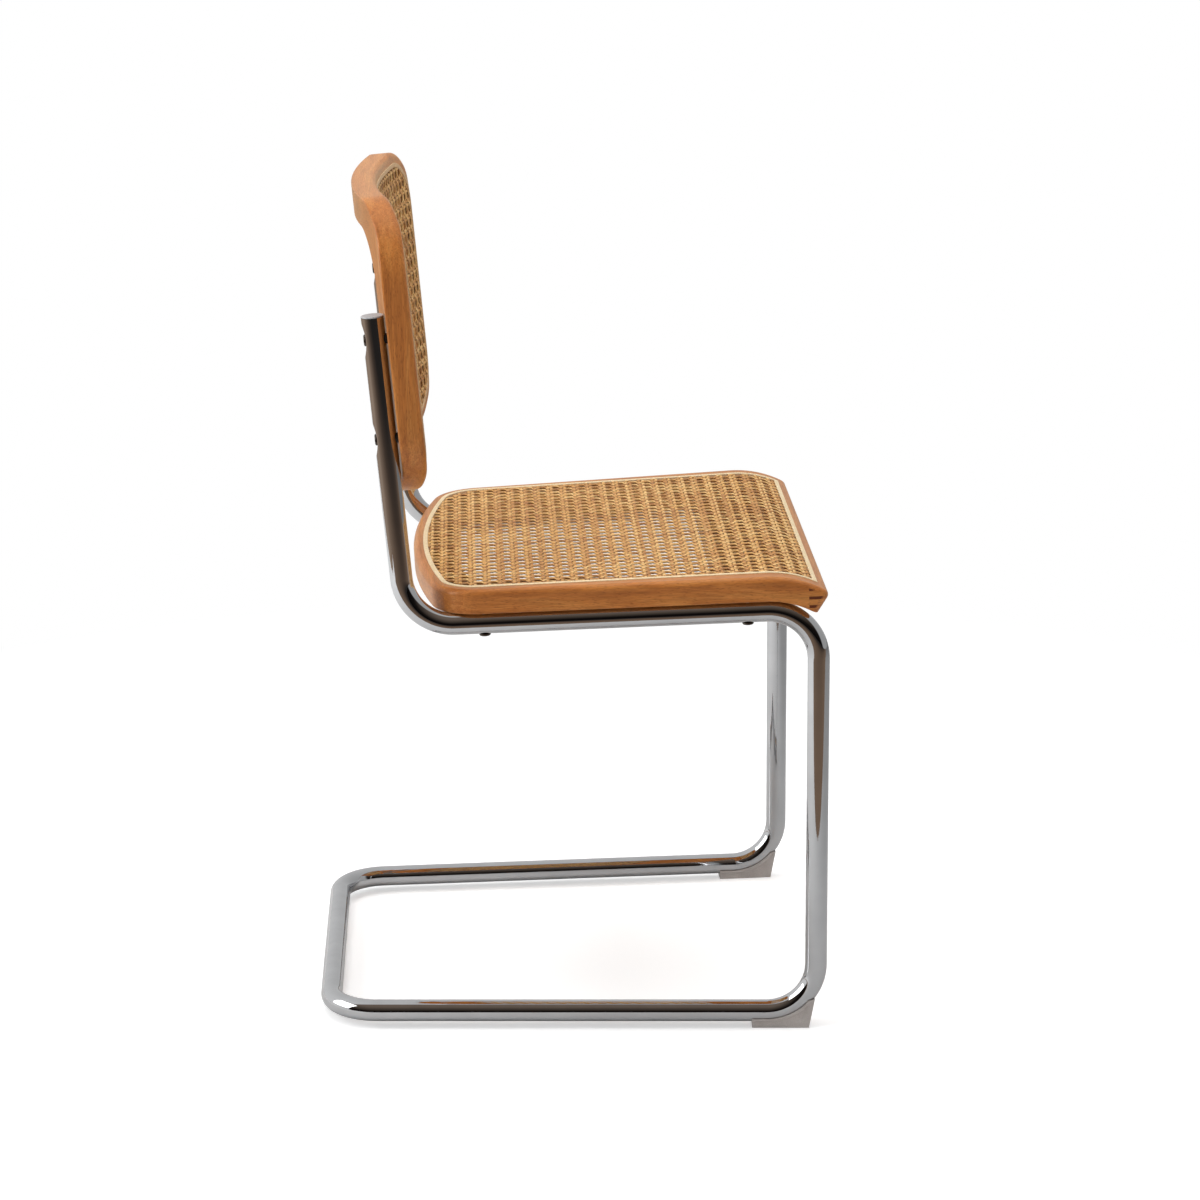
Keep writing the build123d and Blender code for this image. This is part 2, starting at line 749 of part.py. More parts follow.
for place, name in ((0, "back_bottom_rail"), (-1, "back_top_rail")):
    with BuildPart() as cross_rail:
        add(cross_rails.part.solids().sort_by(Axis.Z)[place])
    cross_rail.part.label = name
    export_step(cross_rail.part, f"parts/{name}.step")

# Back spline: one ring that follows the bow
spline_outer = back_inset(back_spline_inset)
spline_inner = back_inset(back_spline_inset + spline_width)
spline_layer = back_layer(frame_thickness - spline_depth, frame_thickness + spline_proud)
with BuildPart() as back_spline:
    add(spline_outer)
    add(spline_inner, mode=Mode.SUBTRACT)
    add(spline_layer, mode=Mode.INTERSECT)
    fillet(back_rim(back_spline, frame_thickness + spline_proud), spline_edge)
back_spline.part.label = "back_spline"
export_step(back_spline.part, "parts/back_spline.step")

# Back cane: one bowed sheet with open mesh over the opening
cane_outline = back_inset(back_spline_inset + spline_width + 2 * fit)
cane_layer = back_layer(frame_thickness - cane_thickness, frame_thickness)
net_margin = back_opening_corner / 2
with BuildPart() as back_cane:
    add(cane_outline)
    add(cane_layer, mode=Mode.INTERSECT)
    with BuildSketch(back_plane.offset(-2 * frame_thickness)):
        with Locations((0, (opening_bottom + opening_top) / 2)):
            with GridLocations(
                2 * (opening_half - net_margin) / (back_net_columns - 1),
                (opening_top - opening_bottom - 2 * net_margin) / (back_net_rows - 1),
                back_net_columns,
                back_net_rows,
            ):
                RegularPolygon(back_net_hole, net_gap_sides)
    extrude(amount=6 * frame_thickness, mode=Mode.SUBTRACT)
back_cane.part.label = "back_cane"
export_step(back_cane.part, "parts/back_cane.step")

# What holds the back to the uprights
with BuildPart() as back_spacers:
    with BuildSketch(back_plane):
        with Locations(*back_screw_points):
            Circle(spacer_diameter / 2)
            Circle(screw_diameter / 2 + fit, mode=Mode.SUBTRACT)
    extrude(amount=stile_rear)
    add(tube_envelope, mode=Mode.SUBTRACT)
    add(back_layer(-fit, frame_thickness), mode=Mode.SUBTRACT)
back_spacers.part.label = "back_spacers"
export_step(back_spacers.part, "parts/back_spacers.step")

with BuildPart() as back_screws:
    add(screw_set(back_plane, back_screw_points, back_head, stile_rear))
back_screws.part.label = "back_screws"
export_step(back_screws.part, "parts/back_screws.step")

with BuildPart() as back_inserts:
    add(insert_set(back_plane, back_screw_points, stile_rear))
back_inserts.part.label = "back_inserts"
export_step(back_inserts.part, "parts/back_inserts.step")
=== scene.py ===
import bmesh
import bpy
import math
import random
from mathutils import Matrix, Vector


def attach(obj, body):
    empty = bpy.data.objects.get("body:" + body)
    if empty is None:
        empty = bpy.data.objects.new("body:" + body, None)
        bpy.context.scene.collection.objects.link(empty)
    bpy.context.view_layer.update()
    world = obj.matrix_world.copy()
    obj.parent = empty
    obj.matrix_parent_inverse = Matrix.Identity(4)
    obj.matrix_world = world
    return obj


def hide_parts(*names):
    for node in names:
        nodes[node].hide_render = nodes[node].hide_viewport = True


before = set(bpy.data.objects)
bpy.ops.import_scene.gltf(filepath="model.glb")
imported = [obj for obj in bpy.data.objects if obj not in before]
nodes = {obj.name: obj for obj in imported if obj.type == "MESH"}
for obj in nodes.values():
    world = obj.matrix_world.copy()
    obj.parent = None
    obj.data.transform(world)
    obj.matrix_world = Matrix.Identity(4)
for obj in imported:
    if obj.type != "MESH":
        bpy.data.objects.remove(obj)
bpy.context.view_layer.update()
shuffle = random.Random(7)

# the bent tube's corner points, in metres, shared by the pieces that sit on it
layout = {
    "baseDepth": 0.491, "frontWidth": 0.4396, "rearWidth": 0.388, "legRake": 0.0017,
    "baseHeight": 0.0164, "seatHeight": 0.4395, "seatRun": 0.4057,
    "seatSlope": math.radians(2.47), "lean": math.radians(5.04), "uprightLength": 0.3091,
    "frameThickness": 0.0245,
}
legFoot = -layout["baseDepth"] / 2
legTop = legFoot + layout["legRake"]
barY = layout["baseDepth"] / 2
slope, lean = layout["seatSlope"], layout["lean"]
uprightFoot = Vector((0, legFoot + layout["seatRun"], 0))
uprightFoot.z = layout["seatHeight"] - math.tan(slope) * (uprightFoot.y - legTop)
uprightDir = Vector((0, math.sin(lean), math.cos(lean)))
toeIn = (layout["frontWidth"] - layout["rearWidth"]) / 2 / layout["baseDepth"]


def sideX(y):
    return layout["frontWidth"] / 2 - toeIn * (y - legFoot)


# distances within which points are joined or count as one
tolerance = {"weld": 2e-6, "sliver": 1e-7, "mirror": 1e-5, "ring": 1e-6}


# small helpers
def linear(red, green, blue):
    def channel(c):
        c = c / 255
        return c / 12.92 if c <= 0.04045 else ((c + 0.055) / 1.055) ** 2.4
    return (channel(red), channel(green), channel(blue), 1)


def newPiece(name, bm, material, replaced):
    mesh = bpy.data.meshes.new(name)
    for face in bm.faces:
        face.smooth = True
    bm.to_mesh(mesh)
    bm.free()
    mesh.materials.append(material)
    piece = bpy.data.objects.new(name, mesh)
    bpy.context.scene.collection.objects.link(piece)
    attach(piece, "root")
    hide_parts(*replaced)
    return piece


def sharpen(bm, degrees):
    for edge in bm.edges:
        edge.smooth = len(edge.link_faces) == 2 and edge.calc_face_angle() < math.radians(degrees)


def smoothCopy(node, name, material, degrees=32):
    bm = bmesh.new()
    bm.from_mesh(nodes[node].data)
    bmesh.ops.remove_doubles(bm, verts=bm.verts, dist=tolerance["weld"])
    bmesh.ops.dissolve_degenerate(bm, dist=tolerance["sliver"], edges=bm.edges)
    sharpen(bm, degrees)
    piece = newPiece(name, bm, material, [node])
    flat = piece.modifiers.new("evenNormals", "WEIGHTED_NORMAL")
    flat.keep_sharp = True


# node helpers
def newGroup(name, inputs, outputs):
    group = bpy.data.node_groups.new(name, "ShaderNodeTree")
    for socketName, kind, value in inputs:
        socket = group.interface.new_socket(socketName, in_out="INPUT", socket_type=kind)
        if value is not None:
            socket.default_value = value
    for socketName, kind in outputs:
        group.interface.new_socket(socketName, in_out="OUTPUT", socket_type=kind)
    start = group.nodes.new("NodeGroupInput")
    end = group.nodes.new("NodeGroupOutput")
    return group, start, end


def addNode(tree, kind, inputs=None, **settings):
    node = tree.nodes.new(kind)
    for key, value in settings.items():
        setattr(node, key, value)
    for key, value in (inputs or {}).items():
        if isinstance(value, bpy.types.NodeSocket):
            tree.links.new(value, node.inputs[key])
        else:
            node.inputs[key].default_value = value
    return node


# places of the colour sockets on a mix node
mixPlaces = {"factor": 0, "first": 6, "second": 7, "result": 2}


def blendColors(tree, mode, factor, first, second):
    inputs = {mixPlaces["factor"]: factor, mixPlaces["first"]: first, mixPlaces["second"]: second}
    node = addNode(tree, "ShaderNodeMix", inputs, data_type="RGBA", blend_type=mode)
    return node.outputs[mixPlaces["result"]]


def ramp(tree, value, stops):
    node = addNode(tree, "ShaderNodeValToRGB", {"Fac": value})
    points = node.color_ramp.elements
    while len(points) < len(stops):
        points.new(0.5)
    for point, (place, color) in zip(points, stops):
        point.position = place
        point.color = color if len(color) == 4 else (*color, 1)
    return node.outputs["Color"]


def grey(value):
    return (value, value, value, 1)


def stretch(tree, vector, scale):
    return addNode(tree, "ShaderNodeMapping", {"Vector": vector, "Scale": scale}).outputs["Vector"]


def noise(tree, vector, scale, **more):
    node = addNode(tree, "ShaderNodeTexNoise", {"Vector": vector, "Scale": scale, **more})
    return node.outputs["Fac"]


def span(tree, value, low, high, start=0.0, end=1.0):
    # spreads a value that runs from start to end so that it runs from low to high
    node = addNode(tree, "ShaderNodeMapRange", {
        "Value": value, "From Min": start, "From Max": end, "To Min": low, "To Max": high})
    return node.outputs["Result"]


def relief(tree, height, strength, depth):
    node = addNode(tree, "ShaderNodeBump", {"Height": height, "Strength": strength, "Distance": depth})
    return node.outputs["Normal"]


def objectPlace(tree):
    return addNode(tree, "ShaderNodeTexCoord").outputs["Object"]


def newMaterial(name, **values):
    material = bpy.data.materials.new(name)
    material.use_nodes = True
    shader = material.node_tree.nodes["Principled BSDF"]
    for key, value in values.items():
        shader.inputs[key].default_value = value
    return material, material.node_tree, shader


def finishSurface(tree, shader, color, roughness, normal):
    for key, socket in (("Base Color", color), ("Roughness", roughness), ("Normal", normal)):
        tree.links.new(socket, shader.inputs[key])


# beech: growth bands, drawn streaks, fine pores and short flecks along the grain, darker end grain
beech = {
    "bands": (7, 90, 90), "pores": (60, 1500, 1500), "flecks": (130, 700, 700), "streaks": (11, 380, 380),
    "patches": 9.0, "rough": (0.5, 0.36), "endFacing": (0.9, 0.985), "relief": (0.12, 0.0004),
    "finish": {"Coat Weight": 0.3, "Coat Roughness": 0.22, "Specular IOR Level": 0.2, "Sheen Weight": 0.22,
               "Sheen Roughness": 0.4, "Sheen Tint": (1, 0.86, 0.45, 1)},
}


def beechGroup():
    group, start, end = newGroup(
        "beechGrain",
        [("Vector", "NodeSocketVector", None), ("End", "NodeSocketFloat", 0.0)],
        [("Color", "NodeSocketColor"), ("Roughness", "NodeSocketFloat"), ("Height", "NodeSocketFloat")],
    )
    grain = start.outputs["Vector"]
    bands = noise(group, stretch(group, grain, beech["bands"]), 1.0, Detail=4.0, Roughness=0.6,
                  Distortion=0.6)
    pores = noise(group, stretch(group, grain, beech["pores"]), 1.0, Detail=2.0)
    streaks = noise(group, stretch(group, grain, beech["streaks"]), 1.0, Detail=3.0, Distortion=0.4)
    patches = noise(group, grain, beech["patches"], Detail=2.0)
    cells = addNode(group, "ShaderNodeTexVoronoi", {
        "Vector": stretch(group, grain, beech["flecks"]), "Scale": 1.0})
    flecks = cells.outputs["Distance"]
    color = ramp(group, bands, [
        (0.28, linear(175, 102, 44)), (0.5, linear(195, 119, 54)), (0.72, linear(211, 139, 69))])
    poreTone = ramp(group, pores, [(0.3, grey(0.62)), (0.62, grey(1.0))])
    fleckTone = ramp(group, flecks, [(0.1, grey(0.45)), (0.3, grey(1.0))])
    streakTone = ramp(group, streaks, [(0.34, grey(0.82)), (0.6, grey(1.04))])
    patchTone = ramp(group, patches, [(0.3, (0.9, 0.86, 0.82)), (0.7, (1.05, 1.04, 1.03))])
    for strength, tone in ((0.7, poreTone), (0.65, fleckTone), (0.7, streakTone), (0.8, patchTone)):
        color = blendColors(group, "MULTIPLY", strength, color, tone)
    endTone = ramp(group, pores, [(0.3, linear(78, 34, 12)), (0.7, linear(114, 56, 23))])
    color = blendColors(group, "MIX", start.outputs["End"], color, endTone)
    height = addNode(group, "ShaderNodeMath", {0: pores, 1: flecks}, operation="ADD")
    group.links.new(color, end.inputs["Color"])
    group.links.new(span(group, pores, *beech["rough"]), end.inputs["Roughness"])
    group.links.new(height.outputs[0], end.inputs["Height"])
    return group


beechGrain = beechGroup()


def beechMaterial(name, turn, grainAxis, endGrain):
    # turn brings the grain onto the group's X axis; faces square to the grain show darker end grain
    material, tree, shader = newMaterial(name, **beech["finish"])
    place = addNode(tree, "ShaderNodeTexCoord")
    turned = addNode(tree, "ShaderNodeMapping", {"Vector": place.outputs["Object"], "Rotation": turn})
    across = addNode(tree, "ShaderNodeVectorMath", {0: place.outputs["Normal"], 1: grainAxis},
                     operation="DOT_PRODUCT")
    facing = addNode(tree, "ShaderNodeMath", {0: across.outputs["Value"]}, operation="ABSOLUTE")
    mask = span(tree, facing.outputs[0], 0.0, endGrain, *beech["endFacing"])
    grain = addNode(tree, "ShaderNodeGroup", {"Vector": turned.outputs["Vector"], "End": mask},
                    node_tree=beechGrain)
    finishSurface(tree, shader, grain.outputs["Color"], grain.outputs["Roughness"],
                  relief(tree, grain.outputs["Height"], *beech["relief"]))
    return material


beechAcross = beechMaterial("beechAcross", (0, 0, 0), (1, 0, 0), 1.0)
beechLengthwise = beechMaterial("beechLengthwise", (0, 0, math.radians(90)), (0, 1, 0), 0.25)
beechUpright = beechMaterial("beechUpright", (0, math.radians(90), 0), (0, 0, 1), 0.4)

# bright chrome with a faint haze
chrome = {"haze": 35.0, "ripple": 160.0, "rough": (0.015, 0.06), "relief": (0.03, 0.0003)}


def chromeMaterial():
    material, tree, shader = newMaterial("brightChrome", Metallic=1.0)
    place = objectPlace(tree)
    haze = noise(tree, place, chrome["haze"], Detail=5.0)
    ripple = noise(tree, place, chrome["ripple"])
    tint = ramp(tree, haze, [(0.3, (0.6, 0.605, 0.615)), (0.7, (0.655, 0.66, 0.67))])
    finishSurface(tree, shader, tint, span(tree, haze, *chrome["rough"]),
                  relief(tree, ripple, *chrome["relief"]))
    return material


# moulded and metal surfaces with a fine speckle
moulded = {"cloud": 60.0, "roughSpread": 0.06, "relief": (0.1, 0.0002)}


def mouldedMaterial(name, dark, light, roughness, grainSize, metallic=0.0):
    material, tree, shader = newMaterial(name, Metallic=metallic)
    place = objectPlace(tree)
    speckle = noise(tree, place, grainSize, Detail=3.0)
    cloud = noise(tree, place, moulded["cloud"])
    mixed = addNode(tree, "ShaderNodeMath", {0: speckle, 1: cloud}, operation="MULTIPLY")
    color = ramp(tree, mixed.outputs[0], [(0.12, linear(*dark)), (0.4, linear(*light))])
    rough = span(tree, speckle, roughness - moulded["roughSpread"], roughness + moulded["roughSpread"])
    finishSurface(tree, shader, color, rough, relief(tree, speckle, *moulded["relief"]))
    return material


# reed with fibres that read as fine streaks
reed = {"fibre": 420.0, "blotch": 22.0, "rough": (0.62, 0.48), "relief": (0.15, 0.0003), "specular": 0.35}


def reedMaterial(name, dark, light):
    material, tree, shader = newMaterial(name, **{"Specular IOR Level": reed["specular"]})
    place = objectPlace(tree)
    fibre = noise(tree, place, reed["fibre"], Detail=3.0)
    blotch = noise(tree, place, reed["blotch"], Detail=2.0)
    color = ramp(tree, fibre, [(0.3, linear(*dark)), (0.7, linear(*light))])
    patch = ramp(tree, blotch, [(0.35, (0.93, 0.9, 0.85)), (0.65, (1.0, 1.0, 1.0))])
    color = blendColors(tree, "MULTIPLY", 0.8, color, patch)
    finishSurface(tree, shader, color, span(tree, fibre, *reed["rough"]),
                  relief(tree, fibre, *reed["relief"]))
    return material


# cane: each strand has its own tone, with fibres along its length, painted shade along its edges, and painted
# shade where it dips under other strands
cane = {
    "stain": 14.0, "rough": (0.48, 0.34), "relief": (0.2, 0.0002), "specular": 0.45,
    "edgeFrom": 3.1, "edgeTo": 4.4, "edgeShade": 0.38,
}


def caneMaterial():
    material, tree, shader = newMaterial("wovenCane", **{"Specular IOR Level": cane["specular"]})
    tone = addNode(tree, "ShaderNodeAttribute", attribute_name="strandToneAndShade")
    strand = addNode(tree, "ShaderNodeAttribute", attribute_name="strandPlace").outputs["Vector"]
    streak = noise(tree, strand, 1.0, Detail=3.0)
    stain = noise(tree, objectPlace(tree), cane["stain"], Detail=3.0)
    color = ramp(tree, tone.outputs["Fac"], [
        (0.0, linear(184, 127, 65)), (0.3, linear(208, 151, 82)), (0.65, linear(228, 177, 103)),
        (1.0, linear(244, 203, 136))])
    streaked = ramp(tree, streak, [(0.3, (0.8, 0.76, 0.7)), (0.65, (1.04, 1.03, 1.0))])
    stained = ramp(tree, stain, [(0.3, (0.88, 0.82, 0.74)), (0.62, (1.02, 1.01, 1.0))])
    # painted shade: each strand darkens towards its edges, standing in for the shadowed sides between strands
    across = addNode(tree, "ShaderNodeSeparateXYZ", {0: strand}).outputs["Y"]
    fromMiddle = addNode(tree, "ShaderNodeMath", {0: across}, operation="ABSOLUTE")
    edge = span(tree, fromMiddle.outputs[0], 1.0, cane["edgeShade"], cane["edgeFrom"], cane["edgeTo"])
    for strength, layer in ((0.75, streaked), (0.7, stained), (1.0, edge)):
        color = blendColors(tree, "MULTIPLY", strength, color, layer)
    finishSurface(tree, shader, color, span(tree, streak, *cane["rough"]),
                  relief(tree, streak, *cane["relief"]))
    return material


brightChrome = chromeMaterial()
paleReed = reedMaterial("paleReed", (226, 202, 160), (243, 224, 188))
# the back's reed: the seat's reed recipe in darker colours
darkerReed = reedMaterial("darkerReed", (200, 164, 122), (226, 194, 152))
wovenCane = caneMaterial()
glidePlastic = mouldedMaterial("glidePlastic", (176, 168, 163), (196, 188, 183), 0.5, 900.0)
capPlastic = mouldedMaterial("capPlastic", (168, 170, 172), (188, 190, 192), 0.35, 700.0)
darkScrew = mouldedMaterial("darkScrew", (66, 58, 52), (104, 94, 86), 0.24, 1200.0, metallic=0.9)
darkWasher = mouldedMaterial("darkWasher", (26, 24, 24), (44, 42, 41), 0.55, 900.0)
zincInsert = mouldedMaterial("zincInsert", (150, 150, 146), (186, 186, 180), 0.4, 800.0, metallic=1.0)
print("materials ready")

# chromed tube: half of it is extruded and spun along its runs, then mirrored
tube = {
    "radius": 0.011, "bendRadius": 0.05, "sides": 64, "bendSteps": 24,
    "dieRadius": 0.04, "seatDimple": 0.001, "backDimple": 0.0034,
    "seatScrews": (legFoot + 0.0715, uprightFoot.y - 0.0762), "backScrews": (0.189, 0.287),
    "markRadius": 0.0045, "markDepth": 0.0007, "sharpAngle": 60,
    # reach and spacing of the loops around each kind of dent
    "seatLoops": (0.01, 0.0012), "backLoops": (0.0185, 0.0016), "markLoops": (0.0036, 0.0006),
    # faces this near a dent, and points this far along and off its run, take the loops
    "loopFaces": 0.2, "loopAlong": 0.3, "loopOff": 0.014,
}


def tubeCorners():
    top = uprightFoot + uprightDir * layout["uprightLength"]
    places = [(barY, layout["baseHeight"]), (legFoot, layout["baseHeight"]),
              (legTop, layout["seatHeight"]), (uprightFoot.y, uprightFoot.z), (top.y, top.z)]
    return [Vector((sideX(y), y, z)) for y, z in places]


def pushDents(bm, center, radius):
    for vert in bm.verts:
        away = vert.co - center
        if away.length < radius:
            vert.co = center + away.normalized() * radius


def addLoops(bm, middle, direction, reach, spacing):
    # loops across one run of the tube, where a dent needs them
    count = int(2 * reach / spacing) + 1
    for step in range(count):
        point = middle + direction * (step * spacing - reach)
        near = [f for f in bm.faces if (f.calc_center_median() - middle).length < tube["loopFaces"]]
        onRun = set()
        for vert in bm.verts:
            away = vert.co - point
            along = away.dot(direction)
            if abs(along) < tube["loopAlong"] and (away - direction * along).length < tube["loopOff"]:
                onRun.add(vert)
        faces = [f for f in near if all(v in onRun for v in f.verts)]
        edges = {e for f in faces for e in f.edges}
        verts = {v for f in faces for v in f.verts}
        bmesh.ops.bisect_plane(bm, geom=list(verts) + list(edges) + faces, plane_co=point,
                               plane_no=direction, dist=tolerance["ring"])


def buildTube():
    bm = bmesh.new()
    corners = tubeCorners()
    start = Vector((0, barY, layout["baseHeight"]))
    points = [start] + corners
    facing = Matrix.Translation(start) @ Matrix.Rotation(math.radians(90), 4, "Y")
    bmesh.ops.create_circle(bm, cap_ends=False, radius=tube["radius"], segments=tube["sides"], matrix=facing)
    ring = list(bm.edges)
    at = start
    marks = []
    for before, corner, after in zip(points, points[1:], points[2:] + [None]):
        into = (corner - before).normalized()
        if after is None:
            target = corner
        else:
            out = (after - corner).normalized()
            turn = into.angle(out)
            reach = tube["bendRadius"] * math.tan(turn / 2)
            target = corner - into * reach
        made = bmesh.ops.extrude_edge_only(bm, edges=ring)["geom"]
        bmesh.ops.translate(bm, verts=[v for v in made if isinstance(v, bmesh.types.BMVert)], vec=target - at)
        ring = [e for e in made if isinstance(e, bmesh.types.BMEdge)
                and all((v.co - target).dot(into) > -tolerance["ring"] for v in e.verts)]
        if after is None:
            break
        inner = (out - into * math.cos(turn)).normalized()
        center = target + inner * tube["bendRadius"]
        axis = into.cross(out).normalized()
        spun = bmesh.ops.spin(bm, geom=ring + list({v for e in ring for v in e.verts}), cent=center,
                              axis=axis, angle=turn, steps=tube["bendSteps"], use_duplicate=False)
        ring = [e for e in spun["geom_last"] if isinstance(e, bmesh.types.BMEdge)]
        at = corner + out * reach
        innerEnd = (out * math.cos(turn) - into).normalized()
        marks += [(target, inner, into), (at.copy(), innerEnd, out)]
    bmesh.ops.edgeloop_fill(bm, edges=ring)
    return bm, marks


def dentTube(bm, marks):
    radius, die = tube["radius"], tube["dieRadius"]
    normal = Vector((0, math.sin(slope), math.cos(slope)))
    along = Vector((-toeIn, math.cos(slope), -math.sin(slope))).normalized()
    for y in tube["seatScrews"]:
        middle = Vector((sideX(y), y, layout["seatHeight"] - math.tan(slope) * (y - legTop)))
        addLoops(bm, middle, along, *tube["seatLoops"])
        pushDents(bm, middle - normal * (radius + die - tube["seatDimple"]), die)
    forward = Vector((0, -math.cos(lean), math.sin(lean)))
    for v in tube["backScrews"]:
        middle = uprightFoot + uprightDir * v
        middle.x = sideX(middle.y)
        addLoops(bm, middle, uprightDir, *tube["backLoops"])
        pushDents(bm, middle - forward * (radius + die - tube["backDimple"]), die)
    mark, depth = tube["markRadius"], tube["markDepth"]
    for middle, inner, direction in marks[2:-1]:
        addLoops(bm, middle, direction, *tube["markLoops"])
        pushDents(bm, middle + inner * (radius + mark - depth), mark)


bm, marks = buildTube()
dentTube(bm, marks)
bmesh.ops.mirror(bm, geom=list(bm.verts) + list(bm.edges) + list(bm.faces), axis="X",
                 merge_dist=tolerance["mirror"])
bmesh.ops.remove_doubles(bm, verts=bm.verts, dist=tolerance["ring"])
bmesh.ops.recalc_face_normals(bm, faces=bm.faces)
sharpen(bm, tube["sharpAngle"])
print("tube", len(bm.faces), "faces")
newPiece("tubeFrame", bm, brightChrome, ["tube_frame"])

# wooden frames, reeds, glides, caps and fasteners keep the frame's own shapes, with smooth shading
carried = [
    ("seat_side_rail_left", "seatSideRailLeft", beechLengthwise, "beech"),
    ("seat_side_rail_right", "seatSideRailRight", beechLengthwise, "beech"),
    ("seat_front_rail", "seatFrontRail", beechAcross, "beech"),
    ("seat_rear_rail", "seatRearRail", beechAcross, "beech"),
    ("back_stile_left", "backStileLeft", beechUpright, "beech"),
    ("back_stile_right", "backStileRight", beechUpright, "beech"),
    ("back_top_rail", "backTopRail", beechAcross, "beech"),
    ("back_bottom_rail", "backBottomRail", beechAcross, "beech"),
    ("seat_spline_sides", "seatReedSides", paleReed, "reed"),
    ("seat_spline_front", "seatReedFront", paleReed, "reed"),
    ("back_spline", "backReed", darkerReed, "reed"),
    ("tube_end_cap_left", "tubeCapLeft", capPlastic, "cap_plastic"),
    ("tube_end_cap_right", "tubeCapRight", capPlastic, "cap_plastic"),
    ("front_glide_left", "frontGlideLeft", glidePlastic, "glide_plastic"),
    ("front_glide_right", "frontGlideRight", glidePlastic, "glide_plastic"),
    ("rear_glide_left", "rearGlideLeft", glidePlastic, "glide_plastic"),
    ("rear_glide_right", "rearGlideRight", glidePlastic, "glide_plastic"),
    ("seat_screws", "seatScrews", darkScrew, "dark_screw"),
    ("back_screws", "backScrews", darkScrew, "dark_screw"),
    ("back_spacers", "backWashers", darkWasher, "dark_washer"),
    ("seat_inserts", "seatInserts", zincInsert, "zinc_insert"),
    ("back_inserts", "backInserts", zincInsert, "zinc_insert"),
]
for node, name, material, slotName in carried:
    smoothCopy(node, name, material)
print("carried pieces", len(carried))

# woven cane: pairs of strands both ways, with diagonals that cross over and under them midway
weave = {
    "acrossPitch": 0.013, "depthPitch": 0.0143, "pairGap": 0.0021, "width": 0.0028, "diagonalWidth": 0.0029,
    "thickness": 0.0006, "lift": 0.0006, "crossLift": 0.0007, "crown": 0.00025, "sunkShade": 0.1,
    "wander": 0.00016, "wanderRate": 90, "phaseSpan": 6.28, "cellSteps": 6, "diagonalSteps": 6,
    # how fast the fibres' pattern runs along and across a strand, and how far each strand's is shifted
    "fibreAlong": 60, "fibreAcross": 3000, "fibreShift": 10, "sharpAngle": 50,
}


def overUnder(place, pitch):
    # +1 over one strand of a crossing pair, -1 under the other
    gap = weave["pairGap"]
    d = place - pitch * math.floor(place / pitch + 0.5)
    if abs(d) <= gap:
        return math.sin(math.pi / 2 * d / gap)
    rest = (abs(d) - gap) / (pitch - 2 * gap)
    return math.copysign(math.cos(math.pi * rest), d)


def insideRun(panel, start, direction, reach, step=0.001):
    # the longest stretch of a line that lies inside the panel's outline
    best, run = None, None
    count = int(2 * reach / step)
    for k in range(count + 1):
        t = k * step - reach
        if panel["inside"](start.x + direction.x * t, start.y + direction.y * t):
            run = (run[0], t) if run else (t, t)
            if best is None or run[1] - run[0] > best[1] - best[0]:
                best = run
        else:
            run = None
    return best


def layStrand(bm, panel, start, direction, width, steps, pitch, heightAt, tone, layers):
    run = insideRun(panel, start, direction, panel["reach"])
    if run is None or run[1] - run[0] < width:
        return
    low, high = run
    length = high - low
    side = Vector((-direction.y, direction.x))
    middle = start + direction * ((low + high) / 2)
    turn = math.atan2(direction.y, direction.x)
    place = Matrix.Translation((middle.x, middle.y, 0)) @ Matrix.Rotation(turn, 4, "Z")
    scale = Matrix.Diagonal((length, width, 1, 1))
    count = max(2, int(length / pitch * steps))
    made = bmesh.ops.create_grid(bm, x_segments=count, y_segments=2, size=0.5, matrix=place @ scale)["verts"]
    phase = shuffle.uniform(0, weave["phaseSpan"])
    for vert in made:
        flat = Vector((vert.co.x, vert.co.y)) - start
        along, across = flat.dot(direction), flat.dot(side)
        shift = weave["wander"] * math.sin(along * weave["wanderRate"] + phase)
        crown = weave["crown"] * (1 - (2 * across / width) ** 2)
        vert.co.x += side.x * shift
        vert.co.y += side.y * shift
        height = heightAt(along)
        vert.co.z = height + crown
        # painted shade: the strand's tone darkens where it dips under its crossings, stored with its own
        # random tone
        level = 0.5 + height / (2 * weave["crossLift"])
        vert[layers[0]] = tone * (1 - weave["sunkShade"] * (1 - level))
        fibre = along * weave["fibreAlong"] + phase * weave["fibreShift"]
        vert[layers[1]] = Vector((fibre, across * weave["fibreAcross"], phase))


